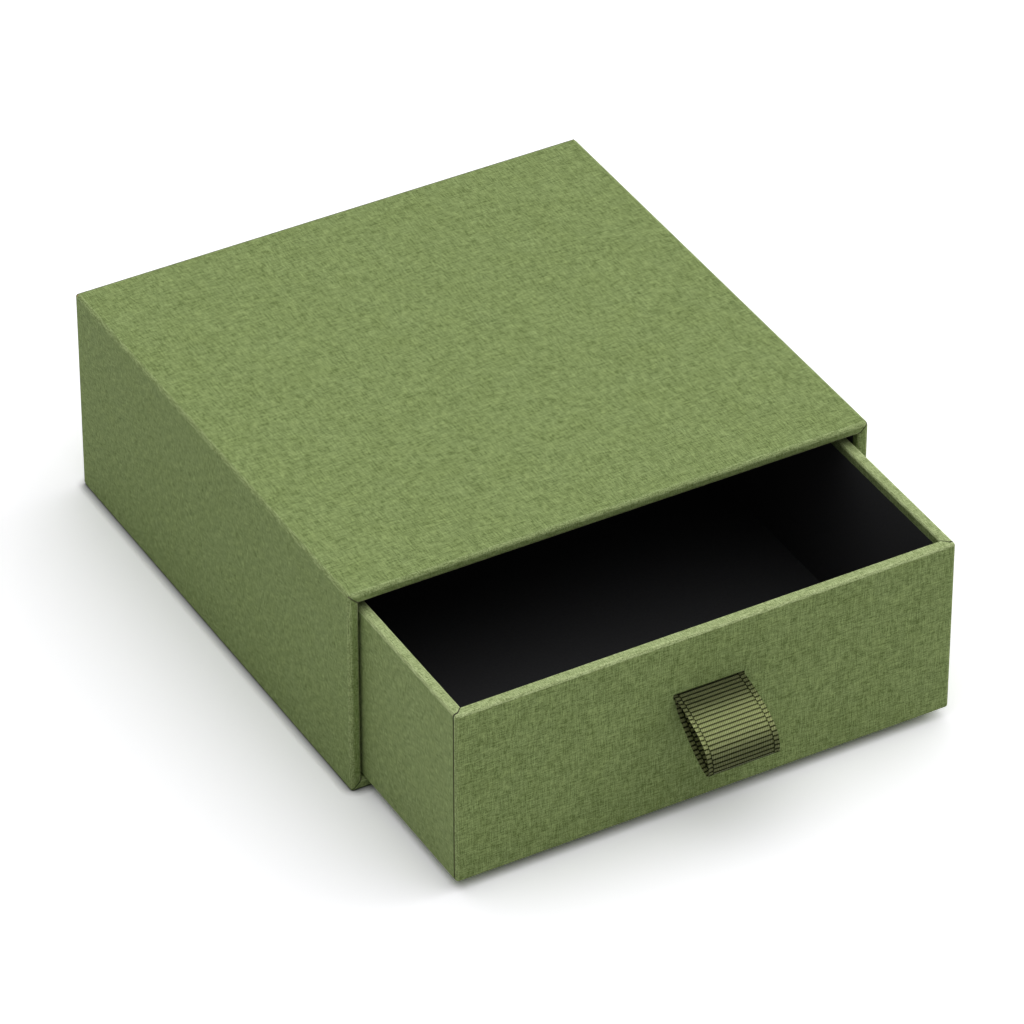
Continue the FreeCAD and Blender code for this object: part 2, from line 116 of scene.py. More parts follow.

# %% [markdown]
# ## Linen-embossed covering paper
# The green paper is an uncoated, dyed-through wood pulp paper. It is pressed between steel rolls
# that carry a linen pattern, so short threads run both ways, at about 0.3 mm spacing, and the
# dye lies a little unevenly, in clouds of a few millimetres. Uncoated pulp has almost no gloss.
# Stretched over a board's edge, the fibres open up and the paper looks paler there. The paler edges and rims
# are also painted highlight, for the light they catch.
#
# Each set of threads is a noise that is squeezed across the thread and stretched along it. One
# set for each axis is enough: on any face of a box, two of the three sets show as threads, and
# the third one, seen end on, shows as grain. Their sum lies near 1.5, and the relief takes the
# part of it between RELIEF_LOW and RELIEF_HIGH.

# %% Green paper
PAPER_IOR = 1.5
THREAD_ACROSS = 0.15 * MM
THREAD_ALONG = 1.9 * MM
CLOUD = 7.0 * MM
RELIEF_LOW, RELIEF_HIGH = 1.25, 1.75
EMBOSS_DEPTH = 0.08 * MM


def paper_threads(tree, place, along):
    """One set of embossed threads that run along an axis, as a noise from 0 to 1."""
    stretch = [1 / THREAD_ACROSS] * 3
    stretch[along] = 1 / THREAD_ALONG
    squeezed = add(tree, "Mapping", {"Vector": place, "Scale": stretch})
    return add(tree, "TexNoise", {"Vector": squeezed.outputs["Vector"], "Scale": 1.0,
                                  "Detail": 1.5, "Roughness": 0.55}).outputs["Fac"]


def make_green_paper():
    material, tree, surface = new_material("linen_embossed_paper_moss_green")
    place = add(tree, "TexCoord").outputs["Object"]
    threads = [paper_threads(tree, place, along) for along in range(3)]
    two = add(tree, "Math", {0: threads[0], 1: threads[1]}, operation="ADD")
    three = add(tree, "Math", {0: two.outputs[0], 1: threads[2]}, operation="ADD")
    relief = add(tree, "MapRange", {"Value": three.outputs[0], "From Min": RELIEF_LOW,
                                    "From Max": RELIEF_HIGH})

    cloud_size = add(tree, "Mapping", {"Vector": place, "Scale": [1 / CLOUD] * 3})
    clouds = add(tree, "TexNoise", {"Vector": cloud_size.outputs["Vector"], "Scale": 1.0,
                                    "Detail": 3.0, "Roughness": 0.6})
    dye = add(tree, "Mix", {0: clouds.outputs["Fac"], MIX_A: linear("#90a262"),
                            MIX_B: linear("#97a96f")}, data_type="RGBA")
    # Paler folds and rims: partly stretched paper, partly painted highlight.
    fold = add(tree, "Attribute", attribute_name="fold")
    worn_and_lit = add(tree, "Mix", {0: fold.outputs["Fac"], MIX_A: dye.outputs[MIXED],
                             MIX_B: linear("#c4d29a")}, data_type="RGBA")
    # Painted shade: the valleys of the emboss are painted darker.
    valley_shade = add(tree, "Mix", {0: relief.outputs["Result"], MIX_A: linear("#9aa185"),
                                MIX_B: linear("#ffffff")}, data_type="RGBA")
    toned = add(tree, "Mix", {0: 1.0, MIX_A: worn_and_lit.outputs[MIXED], MIX_B: valley_shade.outputs[MIXED]},
                data_type="RGBA", blend_type="MULTIPLY")
    # Painted shade, partly glue: the cut edges at the slits are painted nearly black.
    glue = add(tree, "Attribute", attribute_name="glue")
    glued_and_shaded = add(tree, "Mix", {0: glue.outputs["Fac"], MIX_A: toned.outputs[MIXED],
                               MIX_B: linear("#1d220f")}, data_type="RGBA")
    bump = add(tree, "Bump", {"Height": relief.outputs["Result"], "Strength": 0.35,
                              "Distance": EMBOSS_DEPTH})
    shader = add(tree, "BsdfPrincipled", {
        "Base Color": glued_and_shaded.outputs[MIXED], "Normal": bump.outputs["Normal"],
        "Roughness": 0.85, "IOR": PAPER_IOR, "Specular IOR Level": 0.3})
    tree.links.new(shader.outputs["BSDF"], surface)
    return material


green_paper = make_green_paper()
print("green paper nodes:", len(green_paper.node_tree.nodes))

# %% [markdown]
# ## Black lining paper
# The lining is a smooth, matt black paper. Carbon dye takes nearly all the light, and the
# felt side of the sheet leaves a faint grain of fibres, which only shows at a glancing angle.

# %% Black lining paper
FIBRE = 0.5 * MM
FIBRE_HEIGHT = 0.05 * MM


def make_black_paper():
    material, tree, surface = new_material("matt_black_lining_paper")
    place = add(tree, "TexCoord").outputs["Object"]
    size = add(tree, "Mapping", {"Vector": place, "Scale": [1 / FIBRE] * 3})
    fibres = add(tree, "TexNoise", {"Vector": size.outputs["Vector"], "Scale": 1.0, "Detail": 3.0})
    colour = add(tree, "Mix", {0: fibres.outputs["Fac"], MIX_A: linear("#2d2d2e"),
                               MIX_B: linear("#39393b")}, data_type="RGBA")
    bump = add(tree, "Bump", {"Height": fibres.outputs["Fac"], "Strength": 0.25,
                              "Distance": FIBRE_HEIGHT})
    shader = add(tree, "BsdfPrincipled", {
        "Base Color": colour.outputs[MIXED], "Normal": bump.outputs["Normal"],
        "Roughness": 0.9, "IOR": PAPER_IOR, "Specular IOR Level": 0.15})
    tree.links.new(shader.outputs["BSDF"], surface)
    return material


black_paper = make_black_paper()

# %% [markdown]
# ## Greyboard and stay tape
# Greyboard is pressed from mixed waste paper: grey-brown, with flecks of darker and lighter
# fibre. The corners are held by gummed kraft paper tape, which is brown and faintly streaked
# along the way the paper ran through the mill. Both hide under the papers, and show where a
# piece is taken off.

# %% Greyboard and kraft tape
FLECK = 0.8 * MM
FLECK_HEIGHT = 0.1 * MM
ALONG_MILL = 0.25


def make_fibre_board(name, dark, pale, stretch):
    """A raw pulp board or tape: flecks between two tones, stretched by a factor on each axis."""
    material, tree, surface = new_material(name)
    place = add(tree, "TexCoord").outputs["Object"]
    size = add(tree, "Mapping", {"Vector": place, "Scale": [s / FLECK for s in stretch]})
    flecks = add(tree, "TexNoise", {"Vector": size.outputs["Vector"], "Scale": 1.0, "Detail": 5.0,
                                    "Roughness": 0.7})
    colour = add(tree, "Mix", {0: flecks.outputs["Fac"], MIX_A: linear(dark),
                               MIX_B: linear(pale)}, data_type="RGBA")
    bump = add(tree, "Bump", {"Height": flecks.outputs["Fac"], "Strength": 0.4,
                              "Distance": FLECK_HEIGHT})
    shader = add(tree, "BsdfPrincipled", {
        "Base Color": colour.outputs[MIXED], "Normal": bump.outputs["Normal"],
        "Roughness": 0.9, "IOR": PAPER_IOR, "Specular IOR Level": 0.3})
    tree.links.new(shader.outputs["BSDF"], surface)
    return material


greyboard = make_fibre_board("recycled_greyboard", "#756a5d", "#938877", (1, 1, 1))
kraft_tape = make_fibre_board("gummed_kraft_tape", "#a27e52", "#c39c69", (1, ALONG_MILL, 1))

# %% [markdown]
# ## Grosgrain
# Grosgrain is a polyester ribbon. Thick weft cords cross it under fine warp yarns, so it stands in ribs. The
# ribs are real shape here, made further down. The material adds the warp yarns that run over the ribs, 0.4
# mm apart, and the soft sheen of polyester. It reads the attribute `weave`, which holds the millimetres
# across and along the flat ribbon and the height in the rib, so the pattern stays on the cloth where it
# bends. The grooves between the ribs are painted dark, as painted shade. The middle of the loop's outside is
# painted brighter, and its dark grooves narrower, as a painted highlight.

# %% Grosgrain material
# In millimetres, across and along the flat ribbon.
YARN = 0.4
RIB = 1.0
# Painted highlight: the outside of the loop is painted brighter around this length along the ribbon.
LOOP_HIGHLIGHT_AT = 20.0
LOOP_HIGHLIGHT_FULL, LOOP_HIGHLIGHT_END = 1.5, 7.5
YARN_HEIGHT = 0.1 * MM
# Heights in the rib, from 0 to 1: where the painted groove shade ends, away from or in the painted
# highlight, and where the crest starts.
GROOVE_SHADE_TOP, GROOVE_SHADE_TOP_IN_HIGHLIGHT, CREST = 0.55, 0.25, 0.9


def make_grosgrain():
    material, tree, surface = new_material("polyester_grosgrain_olive")
    weave = add(tree, "Attribute", attribute_name="weave")
    parts = add(tree, "SeparateXYZ", {"Vector": weave.outputs["Vector"]})
    across, along, height = (parts.outputs[axis] for axis in "XYZ")
    turns = add(tree, "Math", {0: across, 1: 2 * math.pi / YARN}, operation="MULTIPLY")
    offset = add(tree, "Math", {0: along, 1: math.pi / RIB}, operation="MULTIPLY")
    phase = add(tree, "Math", {0: turns.outputs[0], 1: offset.outputs[0]}, operation="ADD")
    yarns = add(tree, "Math", {0: phase.outputs[0]}, operation="SINE")
    yarn_height = add(tree, "MapRange", {"Value": yarns.outputs[0], "From Min": -1.0})
    fluff = add(tree, "TexNoise", {"Vector": weave.outputs["Vector"], "Scale": 3.0, "Detail": 2.0})
    lit = add(tree, "Math", {0: yarn_height.outputs["Result"], 1: fluff.outputs["Fac"]},
              operation="MULTIPLY")
    crest = add(tree, "Mix", {0: lit.outputs[0], MIX_A: linear("#bbc580"),
                              MIX_B: linear("#f4f8c8")}, data_type="RGBA")
    from_highlight = add(tree, "Math", {0: along, 1: LOOP_HIGHLIGHT_AT}, operation="SUBTRACT")
    distance = add(tree, "Math", {0: from_highlight.outputs[0]}, operation="ABSOLUTE")
    highlight_share = add(tree, "MapRange", {"Value": distance.outputs[0], "From Min": LOOP_HIGHLIGHT_FULL,
                                    "From Max": LOOP_HIGHLIGHT_END, "To Min": 1.0, "To Max": 0.0},
                 interpolation_type="SMOOTHSTEP")
    groove_shade_top = add(tree, "MapRange", {"Value": highlight_share.outputs["Result"],
                                        "To Min": GROOVE_SHADE_TOP, "To Max": GROOVE_SHADE_TOP_IN_HIGHLIGHT})
    raised = add(tree, "MapRange", {"Value": height, "From Min": groove_shade_top.outputs["Result"],
                                    "From Max": CREST})
    # Painted shade: the grooves between the ribs are painted dark.
    colour = add(tree, "Mix", {0: raised.outputs["Result"], MIX_A: linear("#2c330d"),
                               MIX_B: crest.outputs[MIXED]}, data_type="RGBA")
    # Painted highlight: away from the middle of the loop the ribbon is painted darker, so the middle looks
    # lit.
    highlight_tone = add(tree, "Mix", {0: highlight_share.outputs["Result"], MIX_A: linear("#acacac"),
                               MIX_B: linear("#ffffff")}, data_type="RGBA")
    toned = add(tree, "Mix", {0: 1.0, MIX_A: colour.outputs[MIXED], MIX_B: highlight_tone.outputs[MIXED]},
                data_type="RGBA", blend_type="MULTIPLY")
    bump = add(tree, "Bump", {"Height": yarn_height.outputs["Result"], "Strength": 0.8,
                              "Distance": YARN_HEIGHT})
    shader = add(tree, "BsdfPrincipled", {
        "Base Color": toned.outputs[MIXED], "Normal": bump.outputs["Normal"],
        "Roughness": 0.4, "IOR": 1.6, "Specular IOR Level": 0.15,
        "Specular Tint": linear("#d8e09a")})
    tree.links.new(shader.outputs["BSDF"], surface)
    return material


grosgrain = make_grosgrain()

# %% [markdown]
# ## Finishes for the solid parts
# The boards, tapes, linings and flat pasted papers already have their right shape, so they
# stay as they are and only change material. The name of a node says what it is made of.

# %% Dress the solid parts
FINISH_WORDS = (
    ("board", greyboard),
    ("tape", kraft_tape),
    ("patch", kraft_tape),
    ("lin", black_paper),
    ("ribbon", grosgrain),
    ("paper", green_paper),
    ("wrap", green_paper),
)
for name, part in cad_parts.items():
    finish = next(material for word, material in FINISH_WORDS if word in name)
    for material_slot in part.material_slots:
        material_slot.material = finish
print("dressed", len(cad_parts), "solid parts")

# %% [markdown]
# ## Covering papers
# A wrapped box is covered by one skin. It goes round the outside, over the open edge, and a
# little way down the inside. So the skin is made as an open shell: a box is opened on one
# side, its rim is inset by the thickness of the wall, and the inner edge is extruded into the
# box. Bevels round the outside edges and the lip. Solidify then gives the paper its thickness,
# inwards, so the outside stays on the box's own size.

# %% Skin of a covered box
WALL = 2.5 * MM
PAPER = 0.14 * MM
ON_SIDE = 1e-6
SAME_PLACE = 1e-8
FLAT_NORMAL = 0.9999
EDGE_SEGMENTS, LIP_SEGMENTS = 6, 5


def make_skin(low, high, opening, turn_in, edge_radius, lip_radius):
    """The open shell of a box between two corners; `opening` points out of its open side."""
    skin = bmesh.new()
    bmesh.ops.create_cube(skin, size=1.0)
    bmesh.ops.scale(skin, vec=high - low, verts=skin.verts)
    bmesh.ops.translate(skin, vec=(low + high) / 2, verts=skin.verts)
    skin.normal_update()
    skin.verts.layers.float.new("glue")
    outside_edges = skin.edges[:]
    mouth = max(skin.faces, key=lambda face: face.normal.dot(opening))
    bmesh.ops.inset_region(skin, faces=[mouth], thickness=WALL, use_even_offset=True)
    lip_edges = mouth.edges[:]
    bmesh.ops.delete(skin, geom=[mouth], context="FACES_ONLY")
    turned = bmesh.ops.extrude_edge_only(skin, edges=lip_edges)
    inner_verts = [item for item in turned["geom"] if isinstance(item, bmesh.types.BMVert)]
    bmesh.ops.translate(skin, vec=-opening * turn_in, verts=inner_verts)
    for edges, radius, segments in ((outside_edges, edge_radius, EDGE_SEGMENTS),
                                    (lip_edges, lip_radius, LIP_SEGMENTS)):
        bmesh.ops.bevel(skin, geom=edges, offset=radius, segments=segments, profile=0.5,
                        affect="EDGES", material=-1)
    skin.normal_update()
    return skin


def mark_folds(skin, low, high, opening, edge_radius, wear_and_light):
    """Smooth the rounded faces, and mark how much paler the paper is painted, from 0 to 1: partly stretched
    paper, partly painted highlight.

    The last argument gives this for the flat faces, the rounded edges, the flat rim and the rim's ridge.
    """
    fold = skin.verts.layers.float.new("fold")
    rim = max(low.dot(opening), high.dot(opening))
    for vert in skin.verts:
        depth = rim - vert.co.dot(opening)
        gaps = [min(vert.co[axis] - low[axis], high[axis] - vert.co[axis]) for axis in range(3)]
        flat = any(abs(gap - plane) < ON_SIDE for gap in gaps for plane in (0, WALL))
        if depth < ON_SIDE:
            vert[fold] = wear_and_light["rim"]
        elif flat:
            vert[fold] = wear_and_light["face"]
        elif depth < edge_radius:
            vert[fold] = wear_and_light["ridge"]
        else:
            vert[fold] = wear_and_light["edge"]
    for face in skin.faces:
        straight = max(abs(value) for value in face.normal)
        face.smooth = straight < FLAT_NORMAL


def finish_piece(name, mesh_maker, material, body, replaced):
    """Turn a bmesh into a piece that rides on a body and stands for some solid parts."""
    mesh = bpy.data.meshes.new(name)
    mesh_maker.to_mesh(mesh)
    mesh_maker.free()
    mesh.materials.append(material)
    piece = bpy.data.objects.new(name, mesh)
    bpy.context.scene.collection.objects.link(piece)
    if replaced:
        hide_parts(*replaced)
    if body:
        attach(piece, body)
    return piece


def give_thickness(piece, thickness):
    """Give a paper its thickness, from its outside inwards."""
    solidify = piece.modifiers.new("paper_thickness", "SOLIDIFY")
    solidify.thickness = thickness
    solidify.offset = -1.0
    solidify.use_even_offset = True
    return piece


# %% [markdown]
# ## Mitred corners
# Where the turned-in paper meets at a corner it is cut at 45 degrees, and a hair line stays open there. It
# is cut into the skin as a real slit: two parallel planes bisect the faces near the corner, and the sliver
# between them is deleted. The edge of the paper then shows in the slit, with the board below it. The cut
# edges are also painted dark over a narrow band: partly glue, and partly painted shade in the slit.

# %% Slits and trims
SLIT = 0.12 * MM
GLUE_AND_SHADE_BAND = 0.1 * MM


def split_faces(skin, faces, point, across):
    """Bisect some faces of a skin with a plane."""
    edges = {edge for face in faces for edge in face.edges}
    verts = {vert for face in faces for vert in face.verts}
    bmesh.ops.bisect_plane(skin, geom=[*verts, *edges, *faces], dist=SAME_PLACE,
                           plane_co=point, plane_no=across)


def cut_slit(skin, point, across, near, gone, width=SLIT):
    """Cut a slit along a plane: `near` picks the faces to split, `gone` what may be deleted."""
    across = across.normalized()
    glue = skin.verts.layers.float["glue"]
    for distance in (-width / 2 - GLUE_AND_SHADE_BAND, -width / 2, width / 2, width / 2 + GLUE_AND_SHADE_BAND):
        split_faces(skin, [face for face in skin.faces if near(face)],
                    point + across * distance, across)
    slivers = [face for face in skin.faces
               if abs((face.calc_center_median() - point).dot(across)) < width / 2
               and gone(face.calc_center_median())]
    bmesh.ops.delete(skin, geom=slivers, context="FACES")
    for vert in skin.verts:
        # Mark the slit's edges for the dark tone: partly glue, partly painted shade.
        if vert.is_boundary and abs((vert.co - point).dot(across)) < width / 2 + ON_SIDE:
            vert[glue] = 1.0


def trim(skin, point, across):
    """Cut off what lies beyond a plane, in the direction that `across` points."""
    everything = skin.verts[:] + skin.edges[:] + skin.faces[:]
    bmesh.ops.bisect_plane(skin, geom=everything, dist=SAME_PLACE,
                           plane_co=point, plane_no=across, clear_outer=True)


def all_within(face, test):
    """True if every corner of a face passes a test."""
    return all(test(vert.co) for vert in face.verts)


def by_corner(place, corner):
    """True within two walls' thickness of a corner."""
    return max(abs(gap) for gap in place - corner) < 2 * WALL


def touches_corner(face, corner):
    """True if a face reaches near a corner."""
    return any(by_corner(vert.co, corner) for vert in face.verts)


# %% [markdown]
# ## The sleeve's wrap
# The wrap goes round the top, both sides and the mouth. The back and the underside have
# pasted papers of their own, which are solid parts already, so the skin stops where they
# start. The mouth has four mitres. Each slit reaches down the rounded edge by a share of its
# radius, which is MITRE_DEPTH.

# %% Sleeve wrap
RIGHT, BACK, UP = Vector((1, 0, 0)), Vector((0, 1, 0)), Vector((0, 0, 1))
SEAM = 0.05 * MM
SLEEVE_TURN_IN = 2.0 * MM
MITRE_DEPTH = 0.6
SLEEVE_EDGE_RADIUS = 0.95 * MM
SLEEVE_LIP_RADIUS = 0.75 * MM
# How much paler the paper is painted: stretched paper and painted highlight.
SLEEVE_WEAR_AND_LIGHT = {"face": 0.0, "edge": 0.3, "rim": 0.0, "ridge": 0.35}

wrap_low, wrap_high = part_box("sleeve_wrap")
sleeve_low = Vector((wrap_low.x, wrap_low.y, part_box("sleeve_base_paper")[0].z))
sleeve_high = Vector((wrap_high.x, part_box("sleeve_back_paper")[1].y, wrap_high.z))


def make_sleeve_wrap():
    skin = make_skin(sleeve_low, sleeve_high, -BACK, SLEEVE_TURN_IN, SLEEVE_EDGE_RADIUS,
                     SLEEVE_LIP_RADIUS)
    trim(skin, Vector((0, wrap_high.y - SEAM, 0)), BACK)
    trim(skin, Vector((0, 0, wrap_low.z + SEAM)), -UP)
    mouth = sleeve_low.y
    for x, sideways in ((sleeve_low.x, RIGHT), (sleeve_high.x, -RIGHT)):
        for z, upright in ((sleeve_low.z, UP), (sleeve_high.z, -UP)):
            corner = Vector((x, mouth, z))
            cut_slit(
                skin, corner, sideways - upright,
                near=lambda face: touches_corner(face, corner)
                and all_within(face, lambda co: co.y < mouth + WALL),
                gone=lambda centre: by_corner(centre, corner)
                and centre.y < mouth + SLEEVE_EDGE_RADIUS * MITRE_DEPTH)
    mark_folds(skin, sleeve_low, sleeve_high, -BACK, SLEEVE_EDGE_RADIUS, SLEEVE_WEAR_AND_LIGHT)
    wrap = finish_piece("sleeve_paper", skin, green_paper, "sleeve",
                        ["sleeve_wrap"])
    return give_thickness(wrap, PAPER)


sleeve_paper = make_sleeve_wrap()
print("sleeve paper faces:", len(sleeve_paper.data.polygons))

# %% [markdown]
# ## The drawer's papers
# The drawer's skin is one shell as well, and is then shared between two papers. The front
# paper covers the face, laps round both corners for a millimetre, and is mitred on the rim.
# The wrap covers the other three sides, and is painted a little paler, as painted light that makes the
# drawer's side look brighter. The seams between them are real gaps.

# %% Drawer papers
FRONT_LAP = 0.95 * MM
LAP_SEAM = 0.28 * MM
DRAWER_TURN_IN = 2.0 * MM
DRAWER_EDGE_RADIUS = 0.7 * MM
DRAWER_LIP_RADIUS = 0.5 * MM
# How much paler the paper is painted: stretched paper and painted highlight.
DRAWER_WEAR_AND_LIGHT = {"face": 0.0, "edge": 0.2, "rim": 0.75, "ridge": 1.0}
SIDE_PAINTED_LIGHT = 0.12
FACES_FRONT = -0.999

front_low, front_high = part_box("drawer_front_paper")
back_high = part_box("drawer_wrap")[1]
drawer_low = Vector((front_low.x, front_low.y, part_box("drawer_base_paper")[0].z))
drawer_high = Vector((front_high.x, back_high.y, front_high.z))

SLOT_DROP = 14.0 * MM
SLOT_HALF_WIDTH = 8.15 * MM
SLOT_HALF_HEIGHT = 0.6 * MM
slot_centre = Vector((0, drawer_low.y, drawer_high.z - SLOT_DROP))


def side_gap(co):
    """How far a point is from the nearer side wall's outside."""
    return min(co.x - drawer_low.x, drawer_high.x - co.x)


def make_drawer_skin():
    skin = make_skin(drawer_low, drawer_high, UP, DRAWER_TURN_IN, DRAWER_EDGE_RADIUS,
                     DRAWER_LIP_RADIUS)
    trim(skin, Vector((0, 0, front_low.z + SEAM)), -UP)
    rim = drawer_high.z
    lap_line = drawer_low.y + FRONT_LAP

    def on_rim(face):
        return all_within(face, lambda co: co.z > rim - WALL)

    for x, sideways in ((drawer_low.x, RIGHT), (drawer_high.x, -RIGHT)):
        lap_corner = Vector((x, 0, 0)) + sideways * FRONT_LAP
        split_faces(skin, [face for face in skin.faces if on_rim(face)], lap_corner, RIGHT)
        for y, inward in ((drawer_low.y, BACK), (drawer_high.y, -BACK)):
            corner = Vector((x, y, rim))
            lapped = y == drawer_low.y
            cut_slit(
                skin, corner, sideways - inward,
                near=lambda face: on_rim(face) and touches_corner(face, corner),
                gone=lambda centre: by_corner(centre, corner) and centre.z > rim - WALL
                and (side_gap(centre) > FRONT_LAP if lapped
                     else centre.z > rim - DRAWER_EDGE_RADIUS))
    cut_slit(
        skin, Vector((0, lap_line, 0)), BACK,
        near=lambda face: not (on_rim(face) and side_gap(face.calc_center_median()) > FRONT_LAP),
        gone=lambda centre: side_gap(centre) < FRONT_LAP, width=LAP_SEAM)
    mark_folds(skin, drawer_low, drawer_high, UP, DRAWER_EDGE_RADIUS, DRAWER_WEAR_AND_LIGHT)
    return skin


def is_front(centre):
    """True where the skin belongs to the front paper: the face, its laps and its mitred rim."""
    depth = centre.y - drawer_low.y
    on_mitre = (centre.z > drawer_high.z - WALL and depth < side_gap(centre)
                and depth < WALL + ON_SIDE)
    return depth < FRONT_LAP or on_mitre


def keep_faces(skin, wanted):
    """Delete the faces whose centre isn't wanted."""
    unwanted = [face for face in skin.faces if not wanted(face.calc_center_median())]
    bmesh.ops.delete(skin, geom=unwanted, context="FACES")


def cut_ribbon_slot(skin):
    """A rectangular hole in the face, for the ribbon."""
    on_face = [(slot_centre + RIGHT * SLOT_HALF_WIDTH * side, RIGHT) for side in (-1, 1)]
    on_face += [(slot_centre + UP * SLOT_HALF_HEIGHT * side, UP) for side in (-1, 1)]
    for point, across in on_face:
        flat = [face for face in skin.faces if face.normal.y < FACES_FRONT]
        split_faces(skin, flat, point, across)
    keep_faces(skin, lambda centre: abs(centre.x) > SLOT_HALF_WIDTH
               or abs(centre.z - slot_centre.z) > SLOT_HALF_HEIGHT)


def make_drawer_papers():
    front = make_drawer_skin()
    around = front.copy()
    keep_faces(front, is_front)
    cut_ribbon_slot(front)
    keep_faces(around, lambda centre: not is_front(centre))
    fold = around.verts.layers.float["fold"]
    # Painted light: every part of the side paper is painted at least a little paler.
    for vert in around.verts:
        vert[fold] = max(vert[fold], SIDE_PAINTED_LIGHT)
    papers = (("drawer_face_paper", front, "drawer_front_paper"),
              ("drawer_side_paper", around, "drawer_wrap"))
    return [give_thickness(finish_piece(name, skin, green_paper, "drawer",
                                        [replaced]), PAPER)
            for name, skin, replaced in papers]


drawer_papers = make_drawer_papers()
print("drawer paper faces:", [len(paper.data.polygons) for paper in drawer_papers])

# %% [markdown]
# ## The ribbon
# The pull is one strip of grosgrain. It is glued behind the front board, comes out through the
# slot, loops down and goes back in. It is made as it is woven, flat: a grid with a row for
# every step of a rib, raised into ribs and grooves. Then each row is laid on the ribbon's
# path, which is a smooth curve through a few points. The points are in millimetres: how far
# out from the drawer's face, and how far above the slot.

# %% Ribbon path
RIBBON_PATH = (
    # out, up
    (-1.90, 9.00),
    (-1.90, 4.00),
    (-1.90, 0.85),
    (-1.45, 0.27),
    (0.00, 0.26),
    (1.80, -0.20),
    (4.20, -0.80),
    (6.50, -1.60),
    (8.80, -2.60),
    (11.00, -3.80),
    (12.90, -5.60),
    (13.90, -7.70),
    (14.10, -9.40),
    (13.95, -10.50),
    (13.20, -10.75),
    (12.00, -10.50),
    (10.60, -9.95),
    (8.20, -8.50),
    (5.80, -6.75),
    (3.40, -4.80),
    (1.50, -3.00),
    (0.60, -1.50),
    (0.20, -0.55),
    (-0.40, -0.27),
    (-1.45, -0.27),
    (-1.90, -0.85),
    (-1.90, -9.00),
    (-1.90, -18.00),
)


def ribbon_line():
    """The ribbon's centre line as closely spaced points, from a smooth spline."""
    curve = bpy.data.curves.new("ribbon_route", "CURVE")
    curve.dimensions = "3D"
    spline = curve.splines.new("NURBS")
    spline.points.add(len(RIBBON_PATH) - 1)
    for point, (out, up) in zip(spline.points, RIBBON_PATH):
        point.co = (0, slot_centre.y - out * MM, slot_centre.z + up * MM, 1)
    spline.order_u = 3
    spline.use_endpoint_u = True
    spline.resolution_u = 24
    holder = bpy.data.objects.new("ribbon_route", curve)
    line = bpy.data.meshes.new_from_object(holder)
    points = [vert.co.copy() for vert in line.vertices]
    bpy.data.objects.remove(holder)
    bpy.data.curves.remove(curve)
    bpy.data.meshes.remove(line)
    return points


line = ribbon_line()
ribbon_length = sum((b - a).length for a, b in zip(line, line[1:]))
print(f"ribbon length {ribbon_length / MM:.1f} mm, ribs {ribbon_length / MM / RIB:.0f}")

# %% [markdown]
# The rows follow the length and the columns the width. Columns stand closer together at the
# selvedges, where the weft turns round and a heavier warp yarn pulls a fine groove. The ribs
# are never quite straight, so they drift by a share of a rib. Lengths on the flat ribbon are in
# millimetres. On its path, the loop comes to hang a little ASKEW over LOOP_REACH.

# %% Weave the flat strip
RIBBON_HALF = 8.0
SELVEDGE = 1.15
CORE_HALF = 0.09
EDGE_HALF = 0.10
SELVEDGE_ROUND = 0.5
RIB_HEIGHT = 0.22
RIB_FLATNESS = 1.75
RIB_DRIFT = 0.05
DRIFT_ACROSS, DRIFT_ALONG, DRIFT_SEED = 0.25, 0.5, 3.0
WARP_GROOVE_WIDTH, WARP_GROOVE_DEPTH = 0.09, 0.65
ASKEW = Vector((0, -0.035, 0.035))
ROWS_PER_RIB = 10
LOOP_REACH = 14 * MM
HALF_COLUMNS = (0.0, 1.3, 2.6, 3.9, 5.2, 6.3, 6.68, 6.78, 6.85, 6.92, 7.02, 7.3, 7.6, 7.85,
                RIBBON_HALF)
COLUMNS = [-x for x in reversed(HALF_COLUMNS[1:])] + list(HALF_COLUMNS)


def rib_shape(across, along):
    """Height in the weave, from 0 in a groove to 1 on a rib."""
    inside = RIBBON_HALF - abs(across)
    place = Vector((across * DRIFT_ACROSS, along * DRIFT_ALONG, DRIFT_SEED))
    drift = RIB_DRIFT * noise.noise(place)
    shift = 0.5 if inside < SELVEDGE else 0.0
    wave = abs(math.sin(math.pi * (along / RIB + shift + drift)))
    warp_pull = math.exp(-((inside - SELVEDGE) / WARP_GROOVE_WIDTH) ** 2)
    return (1 - (1 - wave) ** RIB_FLATNESS) * (1 - WARP_GROOVE_DEPTH * warp_pull)


def make_flat_strip(rows):
    """The ribbon as woven, flat: returns its bmesh, lying across X and along Y, in millimetres."""
    strip = bmesh.new()
    bmesh.ops.create_grid(strip, x_segments=len(COLUMNS) - 1, y_segments=rows, size=0.5)
    upper = bmesh.ops.extrude_face_region(strip, geom=strip.faces[:])
    upper_verts = {item for item in upper["geom"] if isinstance(item, bmesh.types.BMVert)}
    weave = strip.verts.layers.float_vector.new("weave")
    step = RIB / ROWS_PER_RIB
    for vert in strip.verts:
        across = COLUMNS[round((vert.co.x + 0.5) * (len(COLUMNS) - 1))]
        along = round((vert.co.y + 0.5) * rows) * step
        height = rib_shape(across, along)
        on_edge = abs(across) == RIBBON_HALF
        taper = min(1.0, (RIBBON_HALF - abs(across)) / SELVEDGE_ROUND)
        thick = EDGE_HALF if on_edge else CORE_HALF + RIB_HEIGHT * height * taper
        vert.co = (across, along, thick if vert in upper_verts else -thick)
        vert[weave] = (across, along, height)
    return strip


